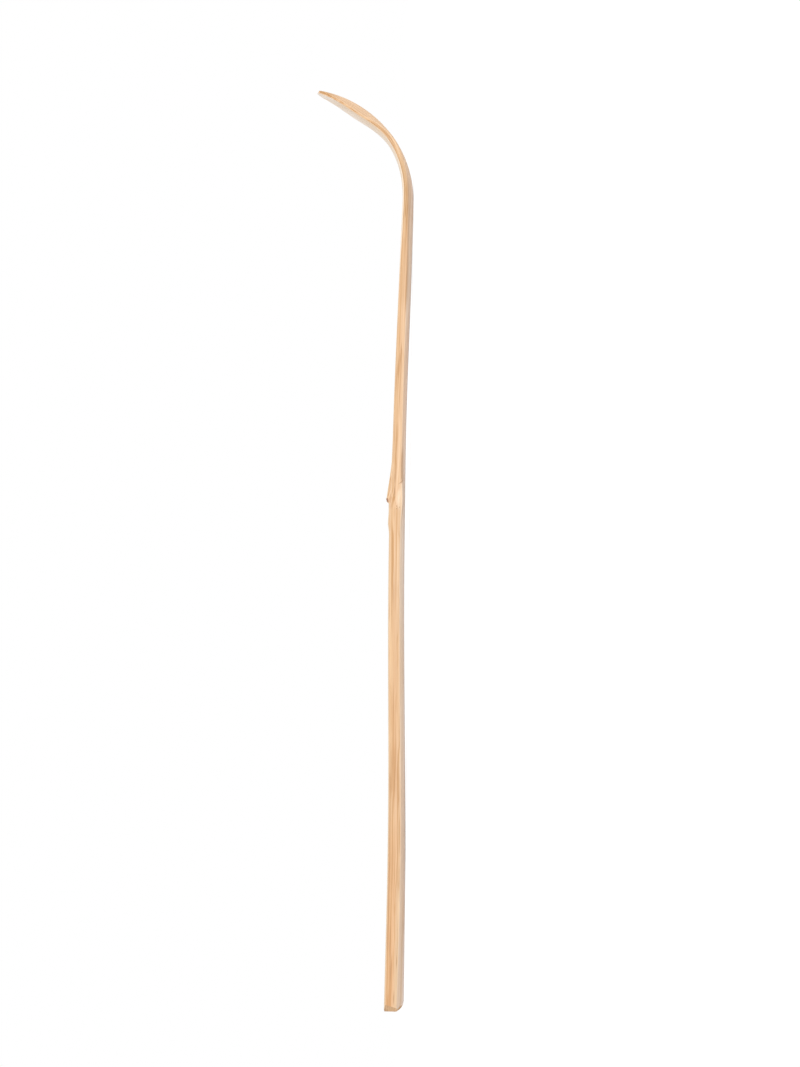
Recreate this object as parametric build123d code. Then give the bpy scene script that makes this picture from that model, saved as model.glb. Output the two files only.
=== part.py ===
from build123d import *
import math
import os

# Bamboo tea scoop lying on its back, front face up, all sizes in millimetres.
# X runs from the cut end of the handle to the tip of the scoop, Y goes across, Z up from the table.

# Lengths along the table
HANDLE_LENGTH = 100.6    # cut end to the lip of the node
SHAFT_LENGTH = 58.5      # lip of the node to the start of the bend
RISE_START = 18.0        # where the back of the handle starts to leave the table
ARCH_RISE = 0.93         # lift of the back off the table at the node
ARCH_LEVEL = 14.0        # level stretch of the back about the node
WAIST_LENGTH = 5.3       # from the end of the node's swelling to the waist of the shaft
FLARE_LENGTH = 15.4      # stretch of the shaft that widens into the bend

# Bend and scoop, along the back
BEND_RADIUS = 22.1
BEND_SWEEP = 81.4        # degrees from the start of the bend to the tip
TIP_TO_BOWL = 23.5       # degrees from the tip back to the deepest and widest place of the bowl
BOWL_TO_NECK = 24.0      # degrees from there back to the thinnest place

# Widths
END_WIDTH = 5.6
HANDLE_WIDTH = 6.4
NODE_WIDTH = 7.0
SHAFT_WIDTH = 6.6        # at the waist
FLARE_WIDTH = 7.1        # where the flare starts
BEND_WIDTH = 7.8
NECK_WIDTH = 8.8
SCOOP_WIDTH = 10.2
TIP_RADIUS = 3.5         # rounding of the tip in plan
TIP_LIMIT = 0.95         # most of the half width, or of the reach, that the rounding may take

# Depths from the front rim to the back
END_DEPTH = 3.82
HANDLE_DEPTH = 3.2
NODE_DEPTH = 2.95        # just below the node
SHAFT_DEPTH = 2.6        # at the waist
FLARE_DEPTH = 2.45
BEND_DEPTH = 2.13
NECK_DEPTH = 1.42
BOWL_DEPTH = 2.2
TIP_DEPTH = 2.1          # as if the scoop ran on at its full width

# Form across the width
FRONT_CROWN = 0.12       # the front of the handle is slightly round
SHAFT_HOLLOW = 0.2       # shallow channel along the front of the shaft
NECK_HOLLOW = 0.22
BOWL_WALL = 0.9          # thickness in the middle of the bowl
BOWL_RIM = 0.55          # thickness at the rim of the bowl
TIP_WALL = 0.62
TIP_RIM = 0.45
BACK_CROWN = 0.03        # the back of the handle is slightly round
BEND_HOLLOW = 0.03       # the back of the bend is slightly hollow, so its two edges meet the table
NECK_CROWN = 0.2

# Bevels along the edges: a drop is measured down the side, a reach across
BACK_DROP = 0.85
BACK_REACH = 1.0
SHAFT_BACK_DROP = 0.68   # the back bevel is narrower on the shaft
SHAFT_BACK_REACH = 0.75
BEND_BACK_DROP = 0.98
NODE_BEVEL = 0.37        # and shallower by this much at the node
NODE_BEVEL_RUN = 3.5     # over this length on both sides of it
END_BEVEL = 0.5          # the back bevel is this much deeper at the cut end
END_BEVEL_RUN = 40.0     # and runs out over this length
NECK_BACK_DROP = 0.15
NECK_BACK_REACH = 0.4
RIM_DROP = 0.15
RIM_REACH = 0.2
BEND_RIM_DROP = 0.4      # wider bevel of the rim where the bend starts
BOWL_EDGE = 0.08

# Natural parts of the bamboo
SKIN = 0.28
RIDGE_RISE = 0.68        # lip above the front face
RIDGE_LENGTH = 7.4       # swelling from the lip up the shaft
SWELL_SHARE = 0.45       # a place on the swelling, as a share of its length from the lip
SWELL_FALL = 0.42        # share of the lip's height that is lost by there
LIP_FLAT = 0.6
LIP_STEP = 1.4           # from the crest of the lip to the foot of its steep side
RIDGE_INSET = 0.15       # the lip stops just short of the sides
ROOT_LENGTH = 7.4        # root of the cross wall, along the back
ROOT_DEPTH = 2.05
NODE_MARGIN = 0.8        # from the root of the cross wall to the end of the lower internode

# Cut end of the handle
END_ROUND_LENGTH = 2.4   # rounded back corner, along the strip
END_ROUND_RISE = 1.7     # and up the cut
END_SIDE_LENGTH = 1.4    # small slanted cuts of the two side corners, at the front
END_SIDE_DEPTH = 0.4
END_SIDE_LEAN = 0.3      # how much shorter they are for each millimetre towards the back

# Sections along the strip, closer together towards the tip
SECTION_STEP = 5.7
CROWDING = 1.5

# Allowances of the cutting shapes
OVER = 2.0
PAST_TIP = 5.0           # degrees that the strip runs on before the tip is cut round
REST_CUT = 0.05          # shaved off the back to leave it flat

NODE_X = HANDLE_LENGTH
BEND_X = HANDLE_LENGTH + SHAFT_LENGTH
LIP_FOOT_X = NODE_X - LIP_STEP
SWELL_X = NODE_X + RIDGE_LENGTH
NODE_FOOT_X = NODE_X - ROOT_LENGTH / 2.0 - NODE_MARGIN
BOWL_ANGLE = BEND_SWEEP - TIP_TO_BOWL
NECK_ANGLE = BOWL_ANGLE - BOWL_TO_NECK


def between(first, last, share):
    """Size at a share of the way from the first to the last."""
    return first + (last - first) * share


def ease(share):
    """Smooth rise from 0 to 1."""
    held = min(max(share, 0.0), 1.0)
    return (1.0 - math.cos(math.pi * held)) / 2.0


def slopes(places, sizes):
    """Slope at each key of a smooth curve that never overshoots its keys."""
    steps = [(sizes[i + 1] - sizes[i]) / (places[i + 1] - places[i]) for i in range(len(places) - 1)]
    inner = []
    for before, after in zip(steps, steps[1:]):
        same_way = before * after > 0
        inner.append(2.0 * before * after / (before + after) if same_way else 0.0)
    return [steps[0]] + inner + [steps[-1]]


def smooth_size(places, sizes, place):
    """Size at a place along the strip, read off the smooth curve through the keys."""
    last = len(places) - 2
    i = min(max(sum(key <= place for key in places) - 1, 0), last)
    run = places[i + 1] - places[i]
    t = (place - places[i]) / run
    lean = slopes(places, sizes)
    start = sizes[i] * (1.0 + 2.0 * t) * (1.0 - t) ** 2 + lean[i] * run * t * (1.0 - t) ** 2
    end = sizes[i + 1] * t**2 * (3.0 - 2.0 * t) + lean[i + 1] * run * t**2 * (t - 1.0)
    return start + end


def back_height(x):
    """Height of the middle of the back over the table, before the bend."""
    if x < NODE_X:
        rise_end = NODE_X - ARCH_LEVEL / 2.0
        return between(-REST_CUT, ARCH_RISE, ease((x - RISE_START) / (rise_end - RISE_START)))
    fall_start = NODE_X + ARCH_LEVEL / 2.0
    return between(BEND_HOLLOW, ARCH_RISE, ease((BEND_X - x) / (BEND_X - fall_start)))


def bevel_change(place):
    """Extra depth of the back bevel towards the cut end, and loss of depth at the node."""
    gain = END_BEVEL * max(1.0 - place / END_BEVEL_RUN, 0.0) ** 2
    return gain - NODE_BEVEL * math.exp(-(((place - NODE_X) / NODE_BEVEL_RUN) ** 2))


def bend_place(angle):
    """Place along the back at an angle of the bend."""
    return BEND_X + BEND_RADIUS * math.radians(angle)


def bend_point(angle):
    """Middle of the back at an angle of the bend."""
    turn = math.radians(angle)
    x = BEND_X + BEND_RADIUS * math.sin(turn)
    z = BEND_HOLLOW + BEND_RADIUS * (1.0 - math.cos(turn))
    return Vector(x, 0, z)


def bend_direction(angle):
    """Direction along the back at an angle of the bend."""
    turn = math.radians(angle)
    return Vector(math.cos(turn), 0, math.sin(turn))


def section_plane(place):
    """Plane across the strip: local x goes across, local y from the back to the front."""
    if place < BEND_X:
        return Plane(origin=(place, 0, back_height(place)), x_dir=(0, 1, 0), z_dir=(1, 0, 0))
    angle = math.degrees((place - BEND_X) / BEND_RADIUS)
    return Plane(origin=bend_point(angle), x_dir=(0, 1, 0), z_dir=bend_direction(angle))


class SizeCurves:
    """Sizes of the cross-section along the strip, each a smooth curve through its keys."""

    def __init__(self):
        past_width = SCOOP_WIDTH + OVER / 2.0
        bowl_width = SCOOP_WIDTH - BOWL_EDGE
        bowl_hollow = BOWL_DEPTH - BOWL_WALL
        bowl_crown = BOWL_DEPTH - BOWL_RIM
        tip_hollow = TIP_DEPTH - TIP_WALL
        tip_crown = TIP_DEPTH - TIP_RIM
        # Keys: cut end, mid handle, node, waist, flare, bend, neck, bowl, tip, past the tip
        self.places = [
            0.0,
            NODE_X / 2.0,
            LIP_FOOT_X,
            SWELL_X + WAIST_LENGTH,
            BEND_X - FLARE_LENGTH,
            BEND_X,
            bend_place(NECK_ANGLE),
            bend_place(BOWL_ANGLE),
            bend_place(BEND_SWEEP),
            bend_place(BEND_SWEEP + PAST_TIP),
        ]
        self.width = [END_WIDTH, HANDLE_WIDTH, NODE_WIDTH, SHAFT_WIDTH, FLARE_WIDTH]
        self.width += [BEND_WIDTH, NECK_WIDTH, bowl_width, past_width, past_width]
        self.depth = [END_DEPTH, HANDLE_DEPTH, NODE_DEPTH, SHAFT_DEPTH, FLARE_DEPTH]
        self.depth += [BEND_DEPTH, NECK_DEPTH, BOWL_DEPTH, TIP_DEPTH, TIP_DEPTH]
        self.hollow = [-FRONT_CROWN] * 3 + [SHAFT_HOLLOW] * 3
        self.hollow += [NECK_HOLLOW, bowl_hollow, tip_hollow, tip_hollow]
        self.crown = [BACK_CROWN] * 5 + [-BEND_HOLLOW]
        self.crown += [NECK_CROWN, bowl_crown, tip_crown, tip_crown]
        self.rim_drop = [RIM_DROP] * 5 + [BEND_RIM_DROP, RIM_DROP] + [BOWL_EDGE] * 3
        self.back_drop = [BACK_DROP] * 3 + [SHAFT_BACK_DROP, BACK_DROP, BEND_BACK_DROP]
        self.back_drop += [NECK_BACK_DROP] + [BOWL_EDGE] * 3
        self.back_reach = [BACK_REACH] * 3 + [SHAFT_BACK_REACH, BACK_REACH, BACK_REACH]
        self.back_reach += [NECK_BACK_REACH] + [RIM_REACH] * 3

    def at(self, sizes, place):
        """One size at a place along the strip."""
        return smooth_size(self.places, sizes, place)

    def stops(self):
        """Places of the sections, closer together towards the tip."""
        end = self.places[-1]
        count = round(end / SECTION_STEP)
        return [end * (1.0 - (1.0 - i / count) ** CROWDING) for i in range(count + 1)]

    def strip_face(self, place):
        """Whole section: round or hollow front, bevelled rims, flat sides, bevelled back."""
        half = self.at(self.width, place) / 2.0
        depth = self.at(self.depth, place)
        hollow = self.at(self.hollow, place)
        crown = self.at(self.crown, place)
        rim = half - RIM_REACH
        heel = half - self.at(self.back_reach, place)
        top = depth - self.at(self.rim_drop, place)
        foot = crown + self.at(self.back_drop, place) + bevel_change(place)
        edges = [
            Bezier((-rim, depth), (0, depth - 2.0 * hollow), (rim, depth)),
            Line((rim, depth), (half, top)),
            Line((half, top), (half, foot)),
            Line((half, foot), (heel, crown)),
            Bezier((heel, crown), (heel / 2.0, 0), (0, 0)),
            Bezier((0, 0), (-heel / 2.0, 0), (-heel, crown)),
            Line((-heel, crown), (-half, foot)),
            Line((-half, foot), (-half, top)),
            Line((-half, top), (-rim, depth)),
        ]
        return section_plane(place) * make_face(edges)

    def skin_face(self, place):
        """Region over the underside of the skin, wider and higher than the strip."""
        half = self.at(self.width, place) / 2.0
        depth = self.at(self.depth, place)
        hollow = self.at(self.hollow, place)
        wide = half + OVER / 2.0
        middle = depth - hollow - SKIN
        side = middle + hollow * (wide / (half - RIM_REACH)) ** 2
        top = depth + OVER
        edges = [
            Bezier((-wide, side), (0, 2.0 * middle - side), (wide, side)),
            Line((wide, side), (wide, top)),
            Line((wide, top), (-wide, top)),
            Line((-wide, top), (-wide, side)),
        ]
        return section_plane(place) * make_face(edges)


def tip_cutter():
    """Waste around the tip: everything outside its outline of three tangent arcs."""
    along = bend_direction(BOWL_ANGLE)
    flat = Plane(origin=bend_point(BOWL_ANGLE), x_dir=along, z_dir=along.cross(Vector(0, 1, 0)))
    reach = BEND_RADIUS * math.sin(math.radians(TIP_TO_BOWL))
    half = SCOOP_WIDTH / 2.0
    tip = min(TIP_RADIUS, half * TIP_LIMIT, reach * TIP_LIMIT)
    nose = reach - tip
    side = (nose**2 + half**2 - tip**2) / (2.0 * (half - tip))
    span = side - tip
    touch_x = nose + tip * nose / span
    touch_y = tip * (side - half) / span
    mid_turn = math.asin(nose / span) / 2.0
    mid_x = side * math.sin(mid_turn)
    mid_y = half - side * (1.0 - math.cos(mid_turn))
    wide = half + OVER
    far = reach + OVER * 2.0
    edges = [
        ThreePointArc((0, half), (mid_x, mid_y), (touch_x, touch_y)),
        ThreePointArc((touch_x, touch_y), (reach, 0), (touch_x, -touch_y)),
        ThreePointArc((touch_x, -touch_y), (mid_x, -mid_y), (0, -half)),
        Polyline((0, -half), (0, -wide), (far, -wide), (far, wide), (0, wide), (0, half)),
    ]
    return extrude(flat * make_face(edges), amount=OVER * 3.0, both=True)


def end_cutters():
    """Waste at the cut end: a rounded back corner and two slanted side corners."""
    middle = (END_ROUND_LENGTH, END_ROUND_RISE)
    corner = [
        EllipticalCenterArc(middle, END_ROUND_LENGTH, END_ROUND_RISE, start_angle=180, arc_size=90),
        Polyline(
            (END_ROUND_LENGTH, 0),
            (END_ROUND_LENGTH, -OVER),
            (-OVER, -OVER),
            (-OVER, END_ROUND_RISE),
            (0, END_ROUND_RISE),
        ),
    ]
    wide = END_WIDTH + OVER * 2.0
    cutters = [extrude(Plane.XZ * make_face(corner), amount=wide, both=True)]
    half = END_WIDTH / 2.0
    slant = END_SIDE_DEPTH / END_SIDE_LENGTH
    back_length = END_SIDE_LENGTH - END_SIDE_LEAN * END_DEPTH
    lean = Vector(END_SIDE_LEAN, 0, 1)
    for side in (1, -1):
        waste = Polyline(
            (back_length - OVER * 2.0, side * (half - slant * OVER * 2.0)),
            (back_length + OVER, side * (half + slant * OVER)),
            (back_length - OVER * 2.0, side * (half + slant * OVER)),
            close=True,
        )
        cutters.append(extrude(make_face(waste), amount=END_DEPTH + OVER, dir=lean, both=True))
    return cutters


def whole_strip(curves):
    """The carved and bent strip before it is told apart into its natural parts."""
    strip = loft([curves.strip_face(place) for place in curves.stops()])
    strip -= tip_cutter()
    for cutter in end_cutters():
        strip -= cutter
    below = Pos(0, 0, -OVER / 2.0) * Box(NODE_X * 2.0, NODE_WIDTH * 2.0, OVER)
    return strip - below


def slice_between(low, high):
    """Slab across the strip between two places along it."""
    size = BEND_RADIUS * 4.0
    return Pos((low + high) / 2.0, 0, 0) * Box(high - low, size, size)


def ridge_swell(curves):
    """Raised lip of the node, swelling from the shaft side and stepping down to the handle."""
    foot = back_height(LIP_FOOT_X) + NODE_DEPTH
    start = back_height(SWELL_X) + curves.at(curves.depth, SWELL_X)
    crest = between(foot, start, LIP_STEP / (LIP_STEP + RIDGE_LENGTH)) + RIDGE_RISE
    swell_x = between(NODE_X, SWELL_X, SWELL_SHARE)
    swell_z = between(crest, start, SWELL_FALL)
    edges = [
        ThreePointArc((SWELL_X, start), (swell_x, swell_z), (NODE_X, crest)),
        Polyline(
            (NODE_X, crest),
            (NODE_X - LIP_FLAT, crest - SKIN / 2.0),
            (LIP_FOOT_X, foot),
            (LIP_FOOT_X, foot - OVER),
            (SWELL_X, foot - OVER),
            (SWELL_X, start),
        ),
    ]
    half = NODE_WIDTH / 2.0 - RIDGE_INSET
    return extrude(Plane.XZ * make_face(edges), amount=half, both=True)


def root_shape():
    """Bar with a round top that marks off the root of the cross wall in the back."""
    radius = (ROOT_LENGTH**2 / 4.0 + ROOT_DEPTH**2) / (2.0 * ROOT_DEPTH)
    centre = ARCH_RISE + ROOT_DEPTH - radius
    return Pos(NODE_X, 0, centre) * Rot(90, 0, 0) * Cylinder(radius, NODE_WIDTH * 2.0)


def natural_parts():
    """The strip told apart into two internodes and the node between them, which meet face to face."""
    curves = SizeCurves()
    strip = whole_strip(curves)
    over_flesh = loft([curves.skin_face(place) for place in curves.stops()])
    flesh = strip - over_flesh
    skin = strip & over_flesh
    tip_x = bend_point(BEND_SWEEP).X + OVER
    ridge = (skin & slice_between(LIP_FOOT_X, SWELL_X)) + (ridge_swell(curves) & over_flesh)
    root = root_shape()
    upper = slice_between(SWELL_X, tip_x)
    return {
        "handle_flesh": flesh & slice_between(-OVER, NODE_FOOT_X),
        "handle_skin": skin & slice_between(-OVER, LIP_FOOT_X),
        "node_flesh": (flesh & slice_between(NODE_FOOT_X, SWELL_X)) - root,
        "node_ridge": ridge,
        "diaphragm_root": flesh & root,
        "scoop_flesh": flesh & upper,
        "scoop_skin": skin & upper,
    }


parts = natural_parts()
tip_end = max(part.bounding_box().max.X for part in parts.values())
middle = Pos(-tip_end / 2.0, 0, 0)
os.makedirs("parts", exist_ok=True)
for name, part in parts.items():
    export_step(middle * part, f"parts/{name}.step")
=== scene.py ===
import math

import bmesh
import bpy
from mathutils import Matrix, Vector, noise


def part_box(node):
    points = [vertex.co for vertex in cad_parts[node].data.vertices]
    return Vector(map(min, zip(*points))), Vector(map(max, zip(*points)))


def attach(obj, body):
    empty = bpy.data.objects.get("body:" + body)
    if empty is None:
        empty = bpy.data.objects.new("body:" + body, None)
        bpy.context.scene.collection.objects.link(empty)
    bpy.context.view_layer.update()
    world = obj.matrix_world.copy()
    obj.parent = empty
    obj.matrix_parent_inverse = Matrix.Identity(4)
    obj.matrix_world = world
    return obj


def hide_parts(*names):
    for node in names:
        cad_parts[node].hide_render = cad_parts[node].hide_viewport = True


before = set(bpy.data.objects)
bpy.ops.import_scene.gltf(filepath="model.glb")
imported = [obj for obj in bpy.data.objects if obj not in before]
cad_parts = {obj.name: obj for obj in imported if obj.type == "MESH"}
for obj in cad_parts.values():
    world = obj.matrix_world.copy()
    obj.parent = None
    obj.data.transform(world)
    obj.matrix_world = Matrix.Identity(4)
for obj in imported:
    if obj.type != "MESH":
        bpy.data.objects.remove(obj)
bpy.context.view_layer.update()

# Bamboo tea scoop lying on its back, front face up. Sizes are in millimetres along the strip, across it
# and up from its back, and are turned into metres where the meshes are made.
MM = 0.001

# Where the natural parts meet, measured along the strip from the cut end and read from the frame
CUT_END_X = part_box("handle_flesh")[0].x / MM
NODE_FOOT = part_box("node_flesh")[0].x / MM - CUT_END_X
LIP_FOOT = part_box("handle_skin")[1].x / MM - CUT_END_X
SWELL_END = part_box("scoop_skin")[0].x / MM - CUT_END_X

# Lengths along the strip
LIP_STEP = 1.4           # from the foot of the lip to its edge
LIP_FLAT = 0.4           # leaning top of the lip, below the edge
SHAFT_LENGTH = 58.5
WAIST_LENGTH = 5.3       # from the end of the swelling to the waist
FLARE_LENGTH = 15.4      # from the flare to the bend
NODE = LIP_FOOT + LIP_STEP
BEND = NODE + SHAFT_LENGTH
WAIST = SWELL_END + WAIST_LENGTH
FLARE = BEND - FLARE_LENGTH

# Arch of the back over the table
RISE_START = 18.0        # where the back leaves the table
ARCH_RISE = 0.93         # its height at the node
ARCH_LEVEL = 14.0        # length over which it keeps that height
REST_CUT = 0.05          # shaved off flat where the handle rests

# Bend and scoop, along the back
BEND_RADIUS = 22.1
BEND_HOLLOW = 0.03
TIP_ANGLE = math.radians(81.4)
BOWL_ANGLE = math.radians(57.9)
NECK_ANGLE = math.radians(33.9)
PAST_TIP = math.radians(5.0)
TIP = BEND + BEND_RADIUS * TIP_ANGLE
SCOOP_WIDTH = 10.2
TIP_RADIUS = 3.5

# Edges, skin, node and cut end
RIM_REACH = 0.2
SKIN = 0.28
RIDGE_RISE = 0.68
SWELL_POWER = 1.15       # the swelling falls almost in a straight line
LIP_LEAN = 0.14
ROOT_LENGTH = 7.4
ROOT_DEPTH = 2.05
ROOT_MARGIN = 0.01
ROOT_BLEND = 0.7
END_WIDTH = 5.6
END_ROUND_LENGTH = 2.4
END_ROUND_RISE = 1.7
END_SIDE_LENGTH = 1.4
END_SIDE_DEPTH = 0.4
END_SIDE_LEAN = 0.3
END_BEVEL = 0.5
END_BEVEL_RUN = 40.0
NODE_BEVEL = 0.37
NODE_BEVEL_RUN = 3.5

# Keys along the strip: cut end, mid handle, node, waist, flare, bend, neck, bowl, tip and past the tip
KEY_TURNS = (NECK_ANGLE, BOWL_ANGLE, TIP_ANGLE, TIP_ANGLE + PAST_TIP)
KEY_PLACES = [0.0, NODE / 2.0, LIP_FOOT, WAIST, FLARE, BEND]
KEY_PLACES += [BEND + BEND_RADIUS * turn for turn in KEY_TURNS]

# Sizes of the section at these keys
KEY_SIZES = {
    "width": [END_WIDTH, 6.4, 7.0, 6.6, 7.1, 7.8, 8.8, 10.12, 11.2, 11.2],
    "depth": [3.82, 3.2, 2.95, 2.6, 2.45, 2.13, 1.42, 2.2, 2.1, 2.1],
    "hollow": [-0.12, -0.12, -0.12, 0.2, 0.2, 0.2, 0.22, 1.3, 1.48, 1.48],
    "crown": [0.03, 0.03, 0.03, 0.03, 0.03, -BEND_HOLLOW, 0.2, 1.65, 1.65, 1.65],
    "rim_drop": [0.15, 0.15, 0.15, 0.15, 0.15, 0.4, 0.15, 0.08, 0.08, 0.08],
    "back_drop": [0.85, 0.85, 0.85, 0.68, 0.85, 0.98, 0.15, 0.08, 0.08, 0.08],
    "back_reach": [1.0, 1.0, 1.0, 0.75, 1.0, 1.0, 0.4, 0.2, 0.2, 0.2],
}

# Softness and handwork that the solids leave out
EDGE_ROUND = 0.11        # rounding of the long edges
CORNER_SHARE = 0.45      # most of an edge that the rounding of one corner takes
FRONT_LEAD = 0.9         # share of the half width from which the front leads to its rim
BACK_LEAD = 0.8          # the same for the back and its heel
HAND_WAVER = 0.05        # how far a carved edge strays
HAND_PITCH = 0.07        # strays per millimetre along the strip
HAND_LANE = 7.3          # keeps the strays of the two sides apart
LIP_WAVE = 0.16          # the lip isn't quite straight across
LIP_WAVE_PITCH = 0.35
LIP_RAGGED = 0.07        # roughness of its edge
RAGGED_ACROSS = 2.6
RAGGED_ALONG = 2.2
LIP_DROP = 0.5           # length of the steep underside of the lip
FOOT_RISE = 0.17         # the skin stands a little high right below the lip
FOOT_LENGTH = 4.6
BULGE_RISE = 0.23        # low swelling of the skin further down
BULGE_PLACE = 4.3        # from the lip down to the middle of it
BULGE_LENGTH = 1.6

# Starts of the three noises, so that they differ
HAND_SEED = 0.5
WAVE_SEED = 3.1
RAGGED_SEED = 1.7

# Points of each stretch of a section
FRONT_POINTS = 22
SKIN_POINTS = 7
WALL_POINTS = 11
CORNER_POINTS = 5
BACK_POINTS = 14
ROOF_POINTS = 8
SEAM_HALVINGS = 24       # steps in the search for the seam of the skin

# Rings along each stretch of the strip
END_RINGS = 30
HANDLE_RINGS = 110
NODE_FOOT_RINGS = 5
ROOT_RINGS = 49
NODE_TOP_RINGS = 12
LIP_RINGS = 26
SWELL_RINGS = 56
SHAFT_RINGS = 60
BEND_RINGS = 70
NOSE_RINGS = 26


def ease(share):
    """Smooth rise from 0 to 1."""
    held = min(max(share, 0.0), 1.0)
    return (1.0 - math.cos(math.pi * held)) / 2.0


def between(first, last, share):
    """Size at a share of the way from the first to the last."""
    return first + (last - first) * share


def spread(first, last, count):
    """Evenly spread places."""
    return [between(first, last, i / (count - 1)) for i in range(count)]


def slopes(sizes):
    """Slope at each key of a smooth curve that never overshoots its keys."""
    steps = [(b - a) / (q - p) for a, b, p, q in zip(sizes, sizes[1:], KEY_PLACES, KEY_PLACES[1:])]
    inner = [2.0 * a * b / (a + b) if a * b > 0 else 0.0 for a, b in zip(steps, steps[1:])]
    return [steps[0]] + inner + [steps[-1]]


KEY_SLOPES = {name: slopes(sizes) for name, sizes in KEY_SIZES.items()}


def size_at(name, place):
    """One size of the section at a place, read off the smooth curve through its keys."""
    i = min(max(sum(key <= place for key in KEY_PLACES) - 1, 0), len(KEY_PLACES) - 2)
    run = KEY_PLACES[i + 1] - KEY_PLACES[i]
    t = (place - KEY_PLACES[i]) / run
    sizes, lean = KEY_SIZES[name], KEY_SLOPES[name]
    start = sizes[i] * (1.0 + 2.0 * t) * (1.0 - t) ** 2 + lean[i] * run * t * (1.0 - t) ** 2
    end = sizes[i + 1] * t**2 * (3.0 - 2.0 * t) + lean[i + 1] * run * t**2 * (t - 1.0)
    return start + end


def waver(place, lane):
    """Slow stray of a hand-carved edge, from -1 to 1."""
    return noise.noise(Vector((place * HAND_PITCH, lane * HAND_LANE, HAND_SEED)))


def back_height(place):
    """Height of the middle of the back over the table, before the bend."""
    if place < NODE:
        rise_end = NODE - ARCH_LEVEL / 2.0
        return between(-REST_CUT, ARCH_RISE, ease((place - RISE_START) / (rise_end - RISE_START)))
    fall_start = NODE + ARCH_LEVEL / 2.0
    return between(BEND_HOLLOW, ARCH_RISE, ease((BEND - place) / (BEND - fall_start)))


def end_lift(place):
    """Height of the rounded back corner of the cut end."""
    left = max(1.0 - place / END_ROUND_LENGTH, 0.0)
    return END_ROUND_RISE * (1.0 - math.sqrt(1.0 - left**2))


def bevel_change(place):
    """Extra depth of the back bevel towards the cut end, and loss of depth at the node."""
    gain = END_BEVEL * max(1.0 - place / END_BEVEL_RUN, 0.0) ** 2
    return gain - NODE_BEVEL * math.exp(-(((place - NODE) / NODE_BEVEL_RUN) ** 2))


def end_half(place, below):
    """Half width that the slanted side cuts of the end leave, at a depth below the front rim."""
    left = END_SIDE_LENGTH - END_SIDE_LEAN * below - place
    return END_WIDTH / 2.0 - left * END_SIDE_DEPTH / END_SIDE_LENGTH


class TipOutline:
    """Plan of the tip: a round nose that two wide arcs run into."""

    reach = BEND_RADIUS * math.sin(TIP_ANGLE - BOWL_ANGLE)
    half = SCOOP_WIDTH / 2.0
    nose = reach - TIP_RADIUS
    side = (nose**2 + half**2 - TIP_RADIUS**2) / (2.0 * (half - TIP_RADIUS))
    touch = nose + TIP_RADIUS * nose / (side - TIP_RADIUS)
    touch_turn = math.asin((touch - nose) / TIP_RADIUS)

    @classmethod
    def half_at(cls, place):
        """Half width at a place along the back."""
        turn = (place - BEND) / BEND_RADIUS - BOWL_ANGLE
        ahead = BEND_RADIUS * math.sin(turn)
        if turn <= 0:
            return math.inf
        if ahead < cls.touch:
            return cls.half - cls.side + math.sqrt(cls.side**2 - ahead**2)
        return math.sqrt(max(TIP_RADIUS**2 - (ahead - cls.nose) ** 2, 0.0))

    @classmethod
    def place_at(cls, turn):
        """Place along the back of a point on the round nose."""
        ahead = cls.nose + TIP_RADIUS * math.sin(turn)
        return BEND + BEND_RADIUS * (BOWL_ANGLE + math.asin(ahead / BEND_RADIUS))


def in_space(place, across, up):
    """Point of the strip in the frame, in metres."""
    if place < BEND:
        height = max(back_height(place) + up, end_lift(place), 0.0)
        return Vector((place + CUT_END_X, across, height)) * MM
    turn = (place - BEND) / BEND_RADIUS
    radius = BEND_RADIUS - up
    ahead = turn - BOWL_ANGLE
    if ahead > 0:
        turn = BOWL_ANGLE + math.asin(math.sin(ahead) * BEND_RADIUS / radius)
    x = BEND + radius * math.sin(turn) + CUT_END_X
    z = BEND_HOLLOW + BEND_RADIUS - radius * math.cos(turn)
    return Vector((x, across, z)) * MM


def rounded(before, corner, after, radius):
    """Points that round off a corner."""
    back, ahead = before - corner, after - corner
    start = corner + back.normalized() * min(radius, back.length * CORNER_SHARE)
    end = corner + ahead.normalized() * min(radius, ahead.length * CORNER_SHARE)
    points = []
    for t in spread(0.0, 1.0, CORNER_POINTS):
        points.append(start * (1.0 - t) ** 2 + corner * 2.0 * t * (1.0 - t) + end * t**2)
    return points


def along_path(points, shares):
    """Points at given shares of the length of a path."""
    runs = [(b - a).length for a, b in zip(points, points[1:])]
    total = sum(runs)
    found = []
    for share in shares:
        left = share * total
        i = 0
        while i < len(runs) - 1 and left > runs[i]:
            left -= runs[i]
            i += 1
        found.append(points[i].lerp(points[i + 1], left / runs[i] if runs[i] else 0.0))
    return found


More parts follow.
